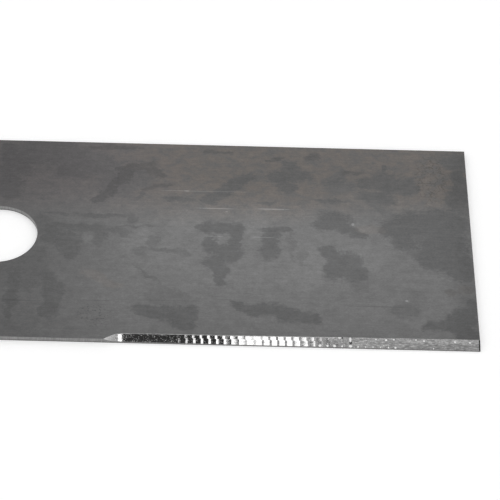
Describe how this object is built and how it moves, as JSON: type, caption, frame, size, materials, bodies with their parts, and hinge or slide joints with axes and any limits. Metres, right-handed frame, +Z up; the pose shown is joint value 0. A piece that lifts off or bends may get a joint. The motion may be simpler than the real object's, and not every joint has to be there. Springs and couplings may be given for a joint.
{
  "type": "brush cutter blade",
  "caption": "Flat rectangular steel bar blade for a brush cutter, with a round arbor hole in its middle and a ground cutting edge on half of each long side.",
  "frame": {"origin": "on the arbor hole's axis, at the underside, which is also the bottom centre of the bounding box", "axes": "+X along the blade, +Z up out of the face that the edges are ground from; the cutting edge of the +X half is on the -Y side"},
  "size_m": [0.305, 0.09, 0.0016],
  "materials": {
    "spring_steel": "dark satin oxide with fine lines along the blade, bright ground cutting edges"
  },
  "bodies": {
    "root": {"blade": "spring_steel"}
  },
  "joints": []
}
